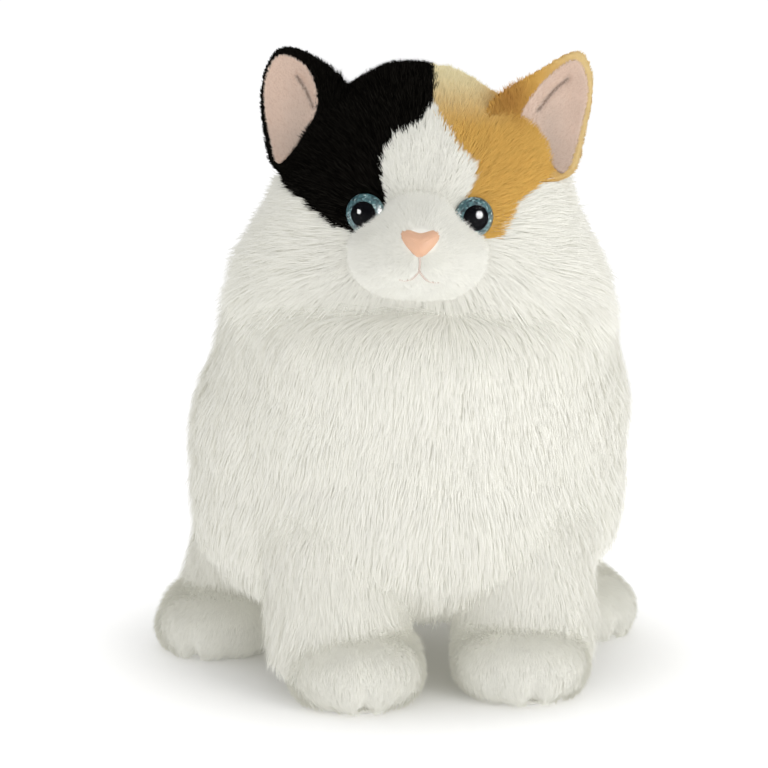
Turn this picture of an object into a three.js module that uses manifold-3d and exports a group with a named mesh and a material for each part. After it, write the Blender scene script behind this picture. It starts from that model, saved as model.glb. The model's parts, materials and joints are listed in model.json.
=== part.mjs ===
// A calico plush cat: a fat, round cat standing on four short legs. It is sewn from pile fabric
// and stuffed with polyester fibre, and its feet are weighted with plastic pellets.
// Millimetres, +Z up. The body faces -Y, the cat's right is -X, and the head is turned to its right.
// A fabric panel's thickness includes its pile, so its outer face is the coat's outer surface.
import * as THREE from 'three';
import { mergeVertices } from 'three/addons/utils/BufferGeometryUtils.js';
import Module from 'manifold-3d';

const wasm = await Module();
wasm.setup();
const { Manifold, Mesh } = wasm;

// ---- Driving dimensions ----
const HEIGHT = 254; // floor to ear tips
const GAP = 0.4; // clearance left between neighbouring pieces
const JOINT_GAP = 1.2; // clearance round a piece that swings
const LONG_PILE = 8; // panel thickness of the long coat
const SHORT_PILE = 5; // panel thickness of the face, ears and paws
const NECK = { y: -30, z: 148 }; // vertical axis and height of the neck seam
const HEAD_TURN = -11.5; // degrees about +Z, towards the cat's right
const FACE_TILT = 1.7; // degrees about +Y, towards the cat's left

const BODY = { y: 4, z: 92, width: 84, depth: 86, below: 60, shoulder: 120, back: 60, lean: 10,
  fullness: 3.3 };
const CHEST_SEAM_Y = -48;
const BELLY_SEAM_Z = 50;

const HEAD = { y: -44, z: 196, width: 60, depth: 52, above: 54, below: 110, cheek: 0.1 };
const CROWN_SEAM_X = 4; // where the black and orange patches meet
const MUZZLE = { y: -88, z: 184.5, width: 25, depth: 24, height: 20.5, taper: 0.16 };
const MUZZLE_PILE = 3;
const NOSE = { y: -111, z: 187.5, width: 7.2, depth: 3.5, height: 5.4 };
const EYE = { x: 20.5, z: 196.5, radius: 7, pupil: 4.5, yaw: 17, dome: 4.2, shank: 2, shankLength: 12 };
const EAR = { x: 45, y: -38, tilt: 12, yaw: 20, width: 18.5, height: 22, thick: 3.4, cup: 7 };
const EAR_FOLD = { forward: 40, back: 20, hinge: [-44, -40, 230], along: [0.69, 0, 0.72] };

const FRONT_LEG = { pivot: [-38.5, -42, 62], ball: 34, ankle: [-35, -50], ankleRadius: 25,
  foot: [-33.5, -63.5, 14], footSize: [26.5, 28, 21], splay: 0, seam: [-76, 36], seamSlope: 53 };
const HIND_LEG = { pivot: [-52, 42, 58], ball: 32, ankle: [-66, 35], ankleRadius: 23,
  foot: [-70, 30, 8], footSize: [25, 34, 18], splay: -30, seam: [12, 24], seamSlope: 14 };
const LEG_SWING = 10; // degrees forwards, and a little less back
const SOLE = 2.5; // thickness of a sole patch
const PELLET_LEVEL = 20; // pellets fill a foot up to here

const TAIL = { path: [[0, 84, 76], [0, 102, 80], [0, 112, 96], [0, 113, 118]], radius: 13, tip: 11 };
const TAIL_SWING = 25; // degrees each way
const LABEL = { side: 9, y: 84.4, bottom: 28, top: 53, thick: 2.4, ply: 0.8 };
const THREAD = 0.8; // radius of the embroidery thread
const STITCH = 3.2; // width of the closing seam's zigzag

// ---- Solids: closed meshes that can be joined and cut ----
const { degToRad, lerp, smoothstep } = THREE.MathUtils;

function solid(geometry) {
  const bare = geometry.clone();
  bare.deleteAttribute('normal');
  bare.deleteAttribute('uv');
  const merged = mergeVertices(bare, 1e-3);
  const index = merged.index.array;
  const kept = [];
  for (let i = 0; i < index.length; i += 3) {
    const [a, b, c] = [index[i], index[i + 1], index[i + 2]];
    if (a !== b && b !== c && c !== a) kept.push(a, b, c);
  }
  const vertProperties = new Float32Array(merged.attributes.position.array);
  const build = (corners) => new Manifold(new Mesh({
    numProp: 3, vertProperties, triVerts: new Uint32Array(corners) }));
  const made = build(kept);
  return made.volume() > 0 ? made : build(kept.toReversed());
}

function geometryOf(shape) {
  const { vertProperties, triVerts } = shape.getMesh();
  const geometry = new THREE.BufferGeometry();
  geometry.setAttribute('position', new THREE.BufferAttribute(vertProperties, 3));
  geometry.setIndex(new THREE.BufferAttribute(triVerts, 1));
  geometry.computeVertexNormals();
  return geometry;
}

// The biggest connected piece: slivers left by a cut are trimmed off.
function biggest(shape) {
  return shape.decompose().reduce((best, next) => (next.volume() > best.volume() ? next : best));
}

function box(low, high) {
  const size = high.map((value, i) => value - low[i]);
  const middle = high.map((value, i) => (value + low[i]) / 2);
  return solid(new THREE.BoxGeometry(...size).translate(...middle));
}

// A sphere whose points are moved to shape(n), where n is the point's unit direction.
function roundForm(shape, around = 24, up = 14) {
  const geometry = new THREE.SphereGeometry(1, around, up).rotateX(Math.PI / 2);
  const points = geometry.attributes.position;
  const n = new THREE.Vector3();
  for (let i = 0; i < points.count; i += 1) {
    n.fromBufferAttribute(points, i);
    points.setXYZ(i, ...shape(n));
  }
  return solid(geometry);
}

// A solid of revolution about +Z from [radius, height] points that start and end on the axis.
function turned(profile, segments = 20) {
  const points = profile.map(([r, z]) => new THREE.Vector2(r, z));
  return solid(new THREE.LatheGeometry(points, segments).rotateX(Math.PI / 2));
}

function threadAlong(points, radius = THREAD, steps = 12) {
  const path = new THREE.CatmullRomCurve3(points.map((p) => new THREE.Vector3(...p)));
  const round = new THREE.Shape().absarc(0, 0, radius, 0, 2 * Math.PI);
  return solid(new THREE.ExtrudeGeometry(round, { extrudePath: path, steps, curveSegments: 2 }));
}

// An outline of [x, z] points drawn on the front of the cat and carried back along +Y.
function frontOutline(points, from, to) {
  const shape = new THREE.Shape(points.map(([x, z]) => new THREE.Vector2(x, z)));
  const plate = new THREE.ExtrudeGeometry(shape, { depth: to - from, bevelEnabled: false });
  return solid(plate.rotateX(Math.PI / 2).translate(0, to, 0));
}

function rotationAbout(point, axis, degrees) {
  const pivot = new THREE.Vector3(...point);
  const matrix = new THREE.Matrix4().makeTranslation(pivot);
  matrix.multiply(new THREE.Matrix4().makeRotationAxis(new THREE.Vector3(...axis), degToRad(degrees)));
  return matrix.multiply(new THREE.Matrix4().makeTranslation(pivot.negate()));
}

// Everything a piece sweeps through as it swings from one angle to another.
function swept(shape, point, axis, from, to, steps) {
  const places = [];
  for (let i = 0; i <= steps; i += 1) {
    const matrix = rotationAbout(point, axis, lerp(from, to, i / steps));
    places.push(shape.transform(matrix.elements));
  }
  return places.reduce((all, next) => all.add(next));
}

const mirrored = (shape) => shape.transform(new THREE.Matrix4().makeScale(-1, 1, 1).elements);

// ---- Materials ----
const fabric = (color) => new THREE.MeshStandardMaterial({ color, roughness: 0.95, metalness: 0 });
const plastic = (color) => new THREE.MeshStandardMaterial({ color, roughness: 0.15, metalness: 0 });
const whitePile = fabric('#f2f0e6');
const blackPile = fabric('#12100e');
const orangePile = fabric('#cf9f55');
const pinkPlush = fabric('#dcbcae');
const mouthThread = fabric('#cfaea8');
const noseThread = fabric('#f0bb93');
const stuffingFibre = fabric('#fbfbfb');
const satinLabel = fabric('#ffffff');
const pelletPlastic = plastic('#dfe3e6');
const blackPlastic = plastic('#050505');
const glitterBlue = plastic('#4f9aa8');
const clearPlastic = plastic('#dfeff2');
const nylon = plastic('#e8e8e8');

function piece(name, shape, material) {
  const mesh = new THREE.Mesh(geometryOf(shape), material);
  mesh.name = name;
  return mesh;
}

// ---- Outer surfaces ----
// inset moves a surface inwards, and a negative inset moves it outwards.
function bodyPoint(n, inset) {
  const flat = Math.hypot(n.x, n.y);
  const fullness = n.z < 0 ? BODY.fullness : 2;
  const k = (flat ** fullness + Math.abs(n.z) ** fullness) ** (-1 / fullness);
  const above = lerp(BODY.shoulder, BODY.back, smoothstep(n.y, -0.2, 0.6));
  const z = n.z * k * ((n.z < 0 ? BODY.below : above) - inset);
  const lean = BODY.lean * Math.max(0, z) / (NECK.z - BODY.z);
  const y = BODY.y + n.y * k * (BODY.depth - inset) - lean;
  return [n.x * k * (BODY.width - inset), y, BODY.z + z];
}

function bodySurface(inset) {
  return roundForm((n) => bodyPoint(n, inset), 20, 12);
}

function headSurface(inset) {
  return roundForm((n) => {
    const z = HEAD.z + n.z * ((n.z < 0 ? HEAD.below : HEAD.above) - inset);
    const cheek = 1 + HEAD.cheek * smoothstep(HEAD.z - z, -4, 20);
    return [n.x * (HEAD.width - inset) * cheek, HEAD.y + n.y * (HEAD.depth - inset), z];
  }, 20, 12);
}

function muzzleSurface(inset) {
  return roundForm((n) => {
    const x = n.x * (MUZZLE.width - inset) * (1 - MUZZLE.taper * n.z);
    const y = MUZZLE.y + n.y * (MUZZLE.depth - inset);
    return [x, y, MUZZLE.z + n.z * (MUZZLE.height - inset)];
  }, 14, 8);
}

// A point just outside the front of the muzzle.
function onMuzzle(x, z) {
  const up = (z - MUZZLE.z) / MUZZLE.height;
  const across = x / (MUZZLE.width * (1 - MUZZLE.taper * up));
  const y = MUZZLE.y - MUZZLE.depth * Math.sqrt(1 - across ** 2 - up ** 2);
  return [x, y - THREAD - GAP, z];
}

// The leg's ball turns in the body, and its cone leans forward over the foot.
function legTop({ pivot, ball, ankle, ankleRadius }, inset) {
  const drop = pivot[2] - 4;
  const profile = [];
  const rings = 4;
  for (let i = 0; i <= rings; i += 1) {
    const angle = (i / rings) * (Math.PI / 2);
    profile.push([(ball - inset) * Math.sin(angle), (ball - inset) * Math.cos(angle)]);
  }
  profile.push([ankleRadius - inset, -drop + Math.max(0, inset)], [0, -drop + Math.max(0, inset)]);
  const lean = [ankle[0] - pivot[0], ankle[1] - pivot[1]];
  return turned(profile, 14).warp((p) => {
    const share = Math.min(0, p[2]) / -drop;
    p[0] += pivot[0] + lean[0] * share;
    p[1] += pivot[1] + lean[1] * share;
    p[2] += pivot[2];
  });
}

// A place on a foot, from its own axes: the foot points forwards and outwards.
function onFoot({ foot, splay }, x, y, z) {
  const turn = degToRad(splay);
  return [foot[0] + x * Math.cos(turn) - y * Math.sin(turn),
    foot[1] + x * Math.sin(turn) + y * Math.cos(turn), foot[2] + z];
}

function footSurface(leg, inset) {
  const [width, length, height] = leg.footSize.map((value) => value - inset);
  return roundForm((n) => onFoot(leg, n.x * width, n.y * length, n.z * height), 14, 8);
}

function wholeLeg(leg, inset, floor) {
  const aboveFloor = box([-150, -150, floor], [150, 150, 150]);
  return legTop(leg, inset).add(footSurface(leg, inset)).intersect(aboveFloor);
}

function tailSurface(inset) {
  const path = new THREE.CatmullRomCurve3(TAIL.path.map((p) => new THREE.Vector3(...p)));
  return roundForm((n) => {
    const share = (n.z + 1) / 2;
    const middle = path.getPoint(share);
    const along = path.getTangent(share);
    const thick = (lerp(TAIL.radius, TAIL.tip, share) - inset) * Math.sqrt(1 - n.z ** 6);
    const flat = Math.hypot(n.x, n.y) || 1;
    const across = (n.y / flat) * thick;
    const overrun = Math.sign(n.z) * Math.max(0, Math.abs(n.z) - 0.8) * 5 * (TAIL.tip - inset);
    const y = middle.y + across * along.z + overrun * along.y;
    const z = middle.z - across * along.y + overrun * along.z;
    return [(n.x / flat) * thick, y, z];
  }, 8, 10);
}

// ---- Places ----
function faceTilt() {
  return rotationAbout([0, HEAD.y, HEAD.z], [0, 1, 0], FACE_TILT);
}

function eyePlace() {
  const across = EYE.x / HEAD.width;
  const up = (EYE.z - HEAD.z) / HEAD.above;
  const y = HEAD.y - HEAD.depth * Math.sqrt(1 - across ** 2 - up ** 2);
  const matrix = new THREE.Matrix4().makeTranslation(-EYE.x, y + 1.5, EYE.z);
  matrix.multiply(new THREE.Matrix4().makeRotationZ(degToRad(-EYE.yaw)));
  return matrix.multiply(new THREE.Matrix4().makeRotationX(Math.PI / 2));
}

// A petal, cupped towards the front, that leans outwards over the head's upper corner.
function earPetal(width, height, thick, forward) {
  const tilt = degToRad(EAR.tilt);
  const centre = new THREE.Vector3(-EAR.x, EAR.y, HEIGHT - EAR.height * Math.cos(tilt));
  const turn = new THREE.Matrix4().makeRotationZ(degToRad(-EAR.yaw));
  turn.multiply(new THREE.Matrix4().makeRotationY(-tilt));
  return roundForm((n) => {
    const x = n.x * width * (1 - 0.3 * n.z);
    const y = n.y * thick - forward - EAR.cup * (x / EAR.width) ** 2;
    return new THREE.Vector3(x, y, n.z * height).applyMatrix4(turn).add(centre);
  }, 12, 8);
}

// ---- Body ----
// A round seat for the leg's ball, flared to the front and back so that the leg can swing.
function legSocket(leg) {
  const swing = degToRad(LEG_SWING);
  const [pivotX, pivotY, pivotZ] = leg.pivot;
  const socket = legTop(leg, -JOINT_GAP).warp((p) => {
    const down = Math.max(0, pivotZ - p[2]);
    const flare = 1 / Math.cos(swing) - 1 + (1.75 * down * Math.tan(swing)) / leg.ball;
    p[0] += (p[0] - pivotX) * 0.02;
    p[1] += (p[1] - pivotY) * flare;
  });
  return socket.add(mirrored(socket));
}

// A round seat for the tail's root, wide enough for the tail to wag.
function tailSocket() {
  const reach = TAIL.radius / Math.cos(degToRad(TAIL_SWING)) + 2 * JOINT_GAP;
  return roundForm((n) => TAIL.path[0].map((value, i) => value + reach * n.getComponent(i)), 12, 8);
}

function bodyPieces() {
  const underHead = box([-150, -150, 0], [150, 150, NECK.z]);
  const sockets = legSocket(FRONT_LEG).add(legSocket(HIND_LEG)).add(tailSocket());
  const coat = bodySurface(0).subtract(bodySurface(LONG_PILE)).intersect(underHead).subtract(sockets);
  const filling = bodySurface(LONG_PILE + GAP).intersect(underHead).subtract(sockets);
  const half = GAP / 2;
  const chest = box([-100, -100, BELLY_SEAM_Z + half], [100, CHEST_SEAM_Y - half, 150]);
  const flank = box([-100, CHEST_SEAM_Y + half, BELLY_SEAM_Z + half], [-half, 100, 150]);
  const belly = box([-100, -100, 0], [100, 100, BELLY_SEAM_Z - half]);
  return [
    piece('chest_panel', biggest(coat.intersect(chest)), whitePile),
    piece('right_flank_panel', biggest(coat.intersect(flank)), whitePile),
    piece('left_flank_panel', biggest(coat.intersect(mirrored(flank))), whitePile),
    piece('belly_gusset', biggest(coat.intersect(belly)), whitePile),
    piece('body_stuffing', biggest(filling), stuffingFibre),
    closingSeam(),
    sewnInLabel(),
  ];
}

// Hand stitching that closes the back seam after stuffing. It zigzags along the spine.
function closingSeam() {
  const points = [];
  const stitches = 8;
  for (let i = 0; i <= stitches; i += 1) {
    const angle = degToRad(lerp(15, 45, i / stitches));
    const n = new THREE.Vector3(0, Math.cos(angle), Math.sin(angle));
    const [, y, z] = bodyPoint(n, -2 * THREAD);
    points.push([i % 2 ? STITCH / 2 : -STITCH / 2, y, z]);
  }
  return piece('closing_seam_thread', threadAlong(points, THREAD, 16), mouthThread);
}

// A folded satin ribbon, blank, sewn into the seam under the tail.
function sewnInLabel() {
  const { side, y, bottom, top, thick, ply } = LABEL;
  const fold = box([-side, y, bottom], [side, y + thick, top]);
  const slit = box([-side - 1, y + ply, bottom - 1], [side + 1, y + thick - ply, top - 2 * ply]);
  return piece('sewn_in_label', fold.subtract(slit), satinLabel);
}

// ---- Legs ----
function legPieces(name, leg, mirror) {
  const side = mirror ? mirrored : (shape) => shape;
  const [seamY, seamZ] = leg.seam;
  const behindSeam = box([-150, 0, -150], [150, 150, 150]).transform(
    new THREE.Matrix4().makeTranslation(0, seamY, seamZ)
      .multiply(new THREE.Matrix4().makeRotationX(degToRad(90 - leg.seamSlope))).elements);
  const beforeSeam = box([-150, -150, -150], [150, -GAP, 150]).transform(
    new THREE.Matrix4().makeTranslation(0, seamY, seamZ)
      .multiply(new THREE.Matrix4().makeRotationX(degToRad(90 - leg.seamSlope))).elements);
  const openTop = box([-150, -150, 0], [150, 150, leg.pivot[2] + leg.ball - 6]);
  const inside = wholeLeg(leg, SHORT_PILE + GAP, SOLE + GAP);
  const skin = wholeLeg(leg, 0, SOLE + GAP).subtract(wholeLeg(leg, SHORT_PILE, 0));
  const sole = wholeLeg(leg, 0, 0).intersect(box([-150, -150, 0], [150, 150, SOLE]));
  const low = box([-150, -150, 0], [150, 150, PELLET_LEVEL]);
  const high = box([-150, -150, PELLET_LEVEL + GAP], [150, 150, 150]);
  return [
    piece(`${name}_sleeve`, side(biggest(skin.intersect(behindSeam).intersect(openTop))), whitePile),
    piece(`${name}_paw_top`, side(biggest(skin.intersect(beforeSeam))), whitePile),
    piece(`${name}_sole_patch`, side(sole), whitePile),
    piece(`${name}_stuffing`, side(biggest(inside.intersect(high))), stuffingFibre),
    piece(`${name}_pellets`, side(biggest(inside.intersect(low))), pelletPlastic),
    piece(`${name}_toe_stitches`, side(toeStitches(leg)), mouthThread),
  ];
}

// One thread: down between two toes, along under their tips and up between the next two.
function toeStitches(leg) {
  const { foot, footSize } = leg;
  const proud = THREAD + GAP;
  const lowest = (SOLE + proud - foot[2]) / (footSize[2] + proud);
  const [high, low, spread] = [24, THREE.MathUtils.radToDeg(Math.asin(lowest)), 24];
  const route = [[-spread, high], [-spread, (high + low) / 2], [-spread, low], [0, low],
    [spread, low], [spread, (high + low) / 2], [spread, high]];
  const thread = threadAlong(route.map(([turn, rise]) => {
    const out = Math.cos(degToRad(rise));
    return onFoot(leg, (footSize[0] + proud) * out * Math.sin(degToRad(turn)),
      -(footSize[1] + proud) * out * Math.cos(degToRad(turn)),
      (footSize[2] + proud) * Math.sin(degToRad(rise)));
  }));
  return biggest(thread.subtract(wholeLeg(leg, -GAP / 2, 0)));
}

// ---- Tail ----
function tailPieces() {
  const behindRoot = box([-60, TAIL.path[0][1] + 2, 0], [60, 150, 200]);
  const cover = tailSurface(0).subtract(tailSurface(SHORT_PILE)).intersect(behindRoot);
  return [
    piece('tail_cover', biggest(cover), whitePile),
    piece('tail_stuffing', tailSurface(SHORT_PILE + GAP), stuffingFibre),
  ];
}

// ---- Head ----
// Patches of coat, as outlines on the face. grow widens an outline on every side.
const blazeOutline = (grow) => [[4, 234 + 2 * grow], [-14 - grow, 221 + grow],
  [-12 - grow, 190 - grow], [20 + grow, 190 - grow], [25 + grow, 215 + grow]];
const blackOutline = (grow) => [[CROWN_SEAM_X + grow, 270], [-90, 270], [-90, 206 - grow],
  [-58, 205 - grow], [-20, 190 - grow], [CROWN_SEAM_X + grow, 190 - grow]];
const orangeOutline = (grow) => [[CROWN_SEAM_X - grow, 270], [CROWN_SEAM_X - grow, 190 - grow],
  [26 + grow, 190 - grow], [34 + grow, 203 - grow], [48, 208 - grow], [90, 208 - grow], [90, 270]];

function patch(outline, grow, back = 60) {
  return frontOutline(outline(grow), -150, back);
}

function eyeHoles() {
  const { radius, shank, shankLength } = EYE;
  const room = turned([[0, 9], [radius + GAP, 9], [radius + GAP, -GAP], [shank + GAP, -GAP],
    [shank + GAP, -6.4], [radius + GAP, -6.4], [radius + GAP, -8.6], [shank + GAP, -8.6],
    [shank + GAP, -shankLength - GAP], [0, -shankLength - GAP]], 12);
  const right = room.transform(eyePlace().elements);
  return right.add(mirrored(right));
}

function headPieces() {
  const level = faceTilt().invert();
  const aboveNeck = box([-150, -150, NECK.z + GAP], [150, 150, 270]).transform(level.elements);
  const holes = eyeHoles();
  const skin = headSurface(0).subtract(headSurface(SHORT_PILE)).intersect(aboveNeck).subtract(holes);
  const filling = headSurface(SHORT_PILE + GAP).intersect(aboveNeck).subtract(holes);
  const blazeGap = patch(blazeOutline, GAP, HEAD.y);
  const black = skin.intersect(patch(blackOutline, 0)).subtract(blazeGap);
  const orange = skin.intersect(patch(orangeOutline, -GAP)).subtract(blazeGap);
  const white = skin.subtract(patch(blackOutline, GAP)).subtract(patch(orangeOutline, GAP));
  const rightHalf = box([-100, -150, 100], [-GAP / 2, 100, 270]);
  const clear = headSurface(-GAP);
  const snout = muzzleSurface(0).subtract(clear).subtract(holes);
  return [
    piece('head_right_panel', biggest(black), blackPile),
    piece('head_left_panel', biggest(orange), orangePile),
    piece('forehead_blaze', biggest(skin.intersect(patch(blazeOutline, 0, HEAD.y))), whitePile),
    piece('right_cheek_panel', biggest(white.intersect(rightHalf)), whitePile),
    piece('left_cheek_panel', biggest(white.intersect(mirrored(rightHalf))), whitePile),
    piece('head_stuffing', biggest(filling), stuffingFibre),
    piece('muzzle_cover', biggest(snout.subtract(muzzleSurface(MUZZLE_PILE))), whitePile),
    piece('muzzle_stuffing', muzzleStuffing(clear, holes), stuffingFibre),
    nose(),
    mouth(),
  ];
}

function muzzleStuffing(clear, holes) {
  return biggest(muzzleSurface(MUZZLE_PILE + GAP).subtract(clear).subtract(holes));
}

// A padded triangle of satin stitch with rounded corners, widest near its top.
function nose() {
  const pad = roundForm((n) => {
    const across = n.x * NOSE.width * (0.72 + 0.42 * n.z);
    return [across, NOSE.y + n.y * NOSE.depth, NOSE.z + n.z * NOSE.height];
  }, 12, 8);
  return piece('nose_embroidery', biggest(pad.subtract(muzzleSurface(-GAP))), noseThread);
}

// The line under the nose and the two lips, one thread.
function mouth() {
  const line = threadAlong([onMuzzle(0, 181.5), onMuzzle(0, 179), onMuzzle(0, 177.5)], THREAD, 4);
  const lips = threadAlong([onMuzzle(-7.5, 174.5), onMuzzle(-3.5, 175.1), onMuzzle(0, 177.7),
    onMuzzle(3.5, 175.1), onMuzzle(7.5, 174.5)], THREAD, 16);
  return piece('mouth_stitch', line.add(lips), mouthThread);
}

// ---- Eyes: a clear dome over a glitter ring on a black post, locked inside the head ----
function eyePieces(side, mirror) {
  const { radius, pupil, dome, shank, shankLength } = EYE;
  const shapes = {
    dome: domeProfile(radius, 1.9, dome),
    iris: [[pupil + 0.3, 1.6], [pupil + 0.3, 1.1], [radius, 1.1], [radius, 1.6], [pupil + 0.3, 1.6]],
    post: [[0, 1.6], [pupil, 1.6], [pupil, 0.8], [radius, 0.8], [radius, 0], [shank, 0],
      [shank, -shankLength], [0, -shankLength]],
    washer: [[shank + 0.3, -6.8], [shank + 0.3, -8.2], [radius, -8.2], [radius, -6.8],
      [shank + 0.3, -6.8]],
  };
  const looks = { dome: clearPlastic, iris: glitterBlue, post: blackPlastic, washer: nylon };
  return Object.entries(shapes).map(([part, profile]) => {
    const placed = turned(profile, 14).transform(eyePlace().elements);
    return piece(`${side}_eye_${part}`, mirror ? mirrored(placed) : placed, looks[part]);
  });
}

function domeProfile(radius, base, rise) {
  const profile = [[0, base + rise]];
  const rings = 4;
  for (let i = 1; i <= rings; i += 1) {
    const angle = (i / rings) * (Math.PI / 2);
    profile.push([radius * Math.sin(angle), base + rise * Math.cos(angle)]);
  }
  return [...profile, [0, base]];
}

// ---- Ears ----
function earPieces(side, mirror, pile) {
  const { forward, back, hinge, along } = EAR_FOLD;
  const skull = swept(headSurface(-JOINT_GAP), hinge, along, -forward, back, 3);
  const shell = earPetal(EAR.width, EAR.height, EAR.thick, 0);
  const around = earPetal(EAR.width + GAP, EAR.height + GAP, EAR.thick + GAP, 0);
  const lining = earPetal(EAR.width * 0.66, EAR.height * 0.8, 1.8, EAR.thick + 0.6);
  const shapes = { back: [shell, pile], lining: [lining.subtract(around), pinkPlush] };
  return Object.entries(shapes).map(([part, [shape, material]]) => {
    const cut = biggest(shape.subtract(skull));
    return piece(`${side}_ear_${part}`, mirror ? mirrored(cut) : cut, material);
  });
}

// ---- Assembly ----
function group(pieces) {
  const made = new THREE.Group();
  made.add(...pieces);
  return made;
}

function turnedHead() {
  const upright = group([
    ...headPieces(),
    ...eyePieces('right', false),
    ...eyePieces('left', true),
    ...earPieces('right', false, blackPile),
    ...earPieces('left', true, orangePile),
  ]);
  upright.applyMatrix4(faceTilt());
  const centred = group([upright]);
  centred.position.y = -NECK.y;
  const head = group([centred]);
  head.position.y = NECK.y;
  head.rotation.z = degToRad(HEAD_TURN);
  return head;
}

const cat = group([
  ...bodyPieces(),
  ...legPieces('right_front_leg', FRONT_LEG, false),
  ...legPieces('left_front_leg', FRONT_LEG, true),
  ...legPieces('right_hind_leg', HIND_LEG, false),
  ...legPieces('left_hind_leg', HIND_LEG, true),
  ...tailPieces(),
  turnedHead(),
]);

// The origin is on the floor, under the middle of the whole cat.
cat.updateMatrixWorld(true);
const bounds = new THREE.Box3().setFromObject(cat, true);
const middle = bounds.getCenter(new THREE.Vector3());
cat.position.set(-middle.x, -middle.y, -bounds.min.z);

export default cat;
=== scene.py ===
"""A calico plush cat: coat, face, ears, paws and tail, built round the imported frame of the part.

Shapes are written in millimetres in one of two spaces: BUILD, upright with the neck axis at x 0,
y -30, and HEAD, which turns with the face and has its origin on the neck axis. The cat faces -Y
and its right is -X.
"""
import json
import math
from collections import namedtuple

import bmesh
import bpy
import numpy as np
from mathutils import Matrix, Vector
from mathutils.kdtree import KDTree


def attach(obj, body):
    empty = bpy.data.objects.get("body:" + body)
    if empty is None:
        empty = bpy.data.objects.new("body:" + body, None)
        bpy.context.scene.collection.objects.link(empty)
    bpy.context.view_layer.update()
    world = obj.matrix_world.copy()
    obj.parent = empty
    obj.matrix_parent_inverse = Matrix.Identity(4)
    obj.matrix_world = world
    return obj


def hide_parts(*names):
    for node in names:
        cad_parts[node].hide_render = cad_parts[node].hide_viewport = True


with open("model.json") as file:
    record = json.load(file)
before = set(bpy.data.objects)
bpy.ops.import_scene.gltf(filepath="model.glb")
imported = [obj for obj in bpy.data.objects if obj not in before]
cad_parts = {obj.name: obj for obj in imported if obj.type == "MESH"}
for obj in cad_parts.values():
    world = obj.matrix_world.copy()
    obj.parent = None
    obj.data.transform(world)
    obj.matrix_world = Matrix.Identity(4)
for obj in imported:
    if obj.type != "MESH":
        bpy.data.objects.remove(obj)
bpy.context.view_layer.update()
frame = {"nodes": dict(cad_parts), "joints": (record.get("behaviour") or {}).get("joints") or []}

MM = 0.001
TINY = 1e-9  # keeps a division from meeting nought
SIDES = {"right": -1, "left": 1}  # which side of the cat, and the sign of its x

# ---- Colours, linear ----
WHITE_LONG = (0.81, 0.803, 0.745)
WHITE_SHORT = (0.83, 0.825, 0.768)
BLACK = (0.0055, 0.005, 0.0042)
ORANGE = np.array([0.76, 0.465, 0.12])
# Lit and shaded copies of the orange: painted light on the crown and the ears' outer edges, painted
# shade where the ears meet the head.
ORANGE_PAINTED_LIGHT = np.array([0.93, 0.83, 0.52])
ORANGE_PAINTED_SHADE = np.array([0.50, 0.24, 0.06])
PINK = np.array([0.71, 0.54, 0.44])
DART_BROWN = np.array([0.24, 0.14, 0.10])
NOSE_PEACH = (0.84, 0.51, 0.34)
THREAD_GREY = (0.57, 0.47, 0.42)
TEAL = (0.13, 0.34, 0.38)


# ---- Places, from the frame ----
def read(items, attribute, kind=float):
    """Rows of three numbers from a mesh's vertices or triangles."""
    values = np.zeros(len(items) * 3, dtype=kind)
    items.foreach_get(attribute, values)
    return values.reshape(-1, 3)


def node_points(node):
    """A CAD node's vertices, in metres in the row frame."""
    m = np.array(frame["nodes"][node].matrix_world)
    return read(frame["nodes"][node].data.vertices, "co") @ m[:3, :3].T + m[:3, 3]


def head_space(neck):
    """Head space to row space, with the face's turn and tilt read from the two eyes."""
    eyes = [node_points(side + "_eye_dome").mean(axis=0) for side in SIDES]
    across = eyes[1] - eyes[0]
    yaw = math.atan2(across[1], across[0])
    tilt = math.atan2(-across[2], math.hypot(across[0], across[1]))
    level = Matrix.Translation((0, 0, 196 * MM))
    tipped = level @ Matrix.Rotation(tilt, 4, "Y") @ level.inverted()
    return Matrix.Translation((neck[0], neck[1], 0)) @ Matrix.Rotation(yaw, 4, "Z") @ tipped


NECK = next(j for j in frame["joints"] if j["name"] == "head_turn")["pos_m"]
BUILD = Matrix.Translation((0, NECK[1] + 30 * MM, 0))
HEAD = head_space(NECK)


def local(points, space):
    """Row points in metres to a space's millimetres."""
    m = np.array(space.inverted())
    return (points @ m[:3, :3].T + m[:3, 3]) / MM


def to_row(points, space):
    m = np.array(space)
    return np.asarray(points, float) * MM @ m[:3, :3].T + m[:3, 3]


# ---- Small mathematics ----
FAR = 99  # mm, further than any seam reaches


def unit(vectors):
    return vectors / np.maximum(np.linalg.norm(vectors, axis=-1, keepdims=True), 1e-12)


def smoothstep(value, low, high):
    t = np.clip((value - low) / (high - low), 0, 1)
    return t * t * (3 - 2 * t)


def mix(low, high, share):
    return low * (1 - share) + high * share


def rows(*columns):
    """Points from their coordinates."""
    return np.stack(np.broadcast_arrays(*columns), axis=1)


def bell(value, width):
    return np.exp(-((value / width) ** 2))


def ripple(points, wavelength, seed, waves=7):
    """Smooth seeded noise, about -1 to 1."""
    rng = np.random.default_rng(seed)
    directions = unit(rng.normal(size=(waves, points.shape[1])))
    lengths = rng.uniform(0.7, 1.5, waves) * wavelength
    phases = rng.uniform(0, 2 * np.pi, waves)
    return np.sin(points @ directions.T * (2 * np.pi / lengths) + phases).mean(axis=1) * 1.7


def curve_through(points, samples, closed=False):
    """A smooth curve through points, evenly sampled."""
    p = np.asarray(points, float)
    count = len(p)
    spans = count if closed else count - 1
    out = []
    for t in np.linspace(0, spans, samples, endpoint=not closed):
        i = min(int(t), spans - 1)
        f = t - i
        pick = [(i + k) % count if closed else min(max(i + k, 0), count - 1) for k in (-1, 0, 1, 2)]
        a, b, c, d = p[pick]
        out.append(0.5 * (2 * b + (c - a) * f + (2 * a - 5 * b + 4 * c - d) * f ** 2
                          + (3 * b - a - 3 * c + d) * f ** 3))
    return np.array(out)


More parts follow.
